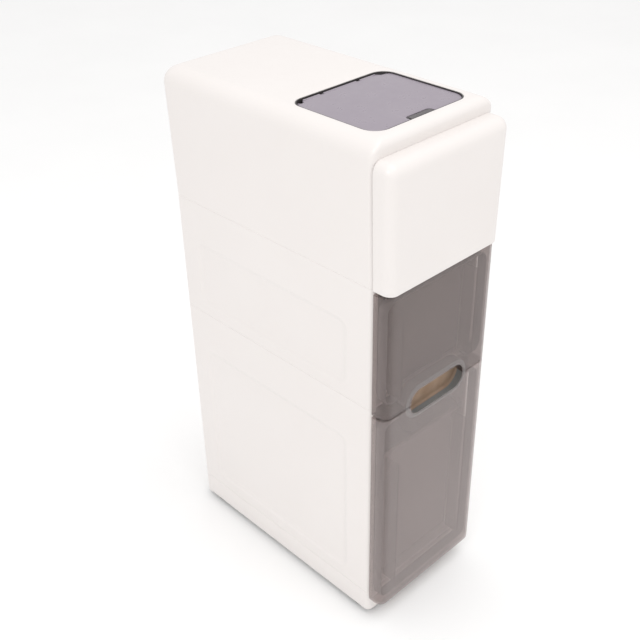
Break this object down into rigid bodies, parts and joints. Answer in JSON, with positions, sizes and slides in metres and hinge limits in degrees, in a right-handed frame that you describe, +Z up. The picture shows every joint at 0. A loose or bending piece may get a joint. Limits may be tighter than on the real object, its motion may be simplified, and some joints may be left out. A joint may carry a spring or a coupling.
{
  "type": "slim rolling waste and storage tower",
  "caption": "Slim rolling tower for kitchen waste and storage: white shell on hidden rollers, two smoke-tinted drawers, a white bin drawer and a flap lid in the roof.",
  "frame": {"origin": "on the floor, under the middle of the tower's overall box", "axes": "+Z up, -Y towards the drawer fronts, +X to the right as seen from the front"},
  "size_m": [0.2232, 0.4325, 0.7815],
  "materials": {
    "white_shell": "smooth moulded, soft sheen",
    "white_inner": "smooth moulded",
    "smoke_clear": "smoke-tinted, see-through, glossy",
    "smoke_box": "smoke-tinted, see-through, soft gloss",
    "smoke_lid": "smoke-tinted, satin",
    "dark_plastic": "satin",
    "steel": "drawn",
    "wheel_rubber": "matt"
  },
  "bodies": {
    "carcass": {"base_side_left": "white_shell", "base_side_right": "white_shell", "lower_side_left": "white_shell", "lower_side_right": "white_shell", "upper_side_left": "white_shell", "upper_side_right": "white_shell", "lower_back": "white_inner", "upper_back": "white_inner", "base_back_rail": "white_inner", "base_front_rail": "white_inner", "base_deck": "white_inner", "low_board": "white_inner", "high_board": "white_inner", "top_hood": "white_shell", "lid_collar": "dark_plastic", "lid_pin": "steel", "catch_cup": "dark_plastic", "catch_spring": "steel", "lower_rail_left": "white_inner", "lower_rail_right": "white_inner", "upper_rail_left": "white_inner", "upper_rail_right": "white_inner", "rail_screws": "steel", "bin_guide_left": "white_inner", "bin_guide_right": "white_inner", "tier_clips": "white_inner", "roller_bracket_front_left": "white_inner", "roller_bracket_front_right": "white_inner", "roller_bracket_rear_left": "white_inner", "roller_bracket_rear_right": "white_inner", "roller_axle_front_left": "steel", "roller_axle_front_right": "steel", "roller_axle_rear_left": "steel", "roller_axle_rear_right": "steel"},
    "lid": {"flap_lid": "smoke_lid"},
    "catch": {"catch_button": "dark_plastic"},
    "bin_drawer": {"bin_front": "white_shell", "bin_box": "white_inner", "bin_ribs": "white_inner", "bag_ring": "white_inner"},
    "upper_drawer": {"upper_front": "smoke_clear", "upper_box": "smoke_box", "upper_ribs": "white_inner"},
    "lower_drawer": {"lower_front": "smoke_clear", "lower_box": "smoke_box", "lower_ribs": "white_inner"},
    "wheel_front_left": {"roller_wheel_front_left": "wheel_rubber"},
    "wheel_front_right": {"roller_wheel_front_right": "wheel_rubber"},
    "wheel_rear_left": {"roller_wheel_rear_left": "wheel_rubber"},
    "wheel_rear_right": {"roller_wheel_rear_right": "wheel_rubber"}
  },
  "joints": [
    {"name": "lid_hinge", "type": "hinge", "parent": "carcass", "child": "lid", "pos_m": [0, -0.0262, 0.7755], "axis": [-1, 0, 0], "range_deg": [0, 88]},
    {"name": "catch_press", "type": "slide", "parent": "carcass", "child": "catch", "axis": [0, 0, -1], "range_m": [0, 0.003], "stiffness_N_per_m": 300, "springref_m": -0.002, "deforming": ["catch_spring"]},
    {"name": "bin_drawer_slide", "type": "slide", "parent": "carcass", "child": "bin_drawer", "axis": [0, -1, 0], "range_m": [0, 0.28]},
    {"name": "upper_drawer_slide", "type": "slide", "parent": "carcass", "child": "upper_drawer", "axis": [0, -1, 0], "range_m": [0, 0.28]},
    {"name": "lower_drawer_slide", "type": "slide", "parent": "carcass", "child": "lower_drawer", "axis": [0, -1, 0], "range_m": [0, 0.28]},
    {"name": "wheel_spin_front_left", "type": "hinge", "parent": "carcass", "child": "wheel_front_left", "pos_m": [0, -0.159, 0.017], "axis": [1, 0, 0], "continuous": true},
    {"name": "wheel_spin_front_right", "type": "hinge", "parent": "carcass", "child": "wheel_front_right", "pos_m": [0, -0.159, 0.017], "axis": [1, 0, 0], "continuous": true},
    {"name": "wheel_spin_rear_left", "type": "hinge", "parent": "carcass", "child": "wheel_rear_left", "pos_m": [0, 0.175, 0.017], "axis": [1, 0, 0], "continuous": true},
    {"name": "wheel_spin_rear_right", "type": "hinge", "parent": "carcass", "child": "wheel_rear_right", "pos_m": [0, 0.175, 0.017], "axis": [1, 0, 0], "continuous": true}
  ]
}
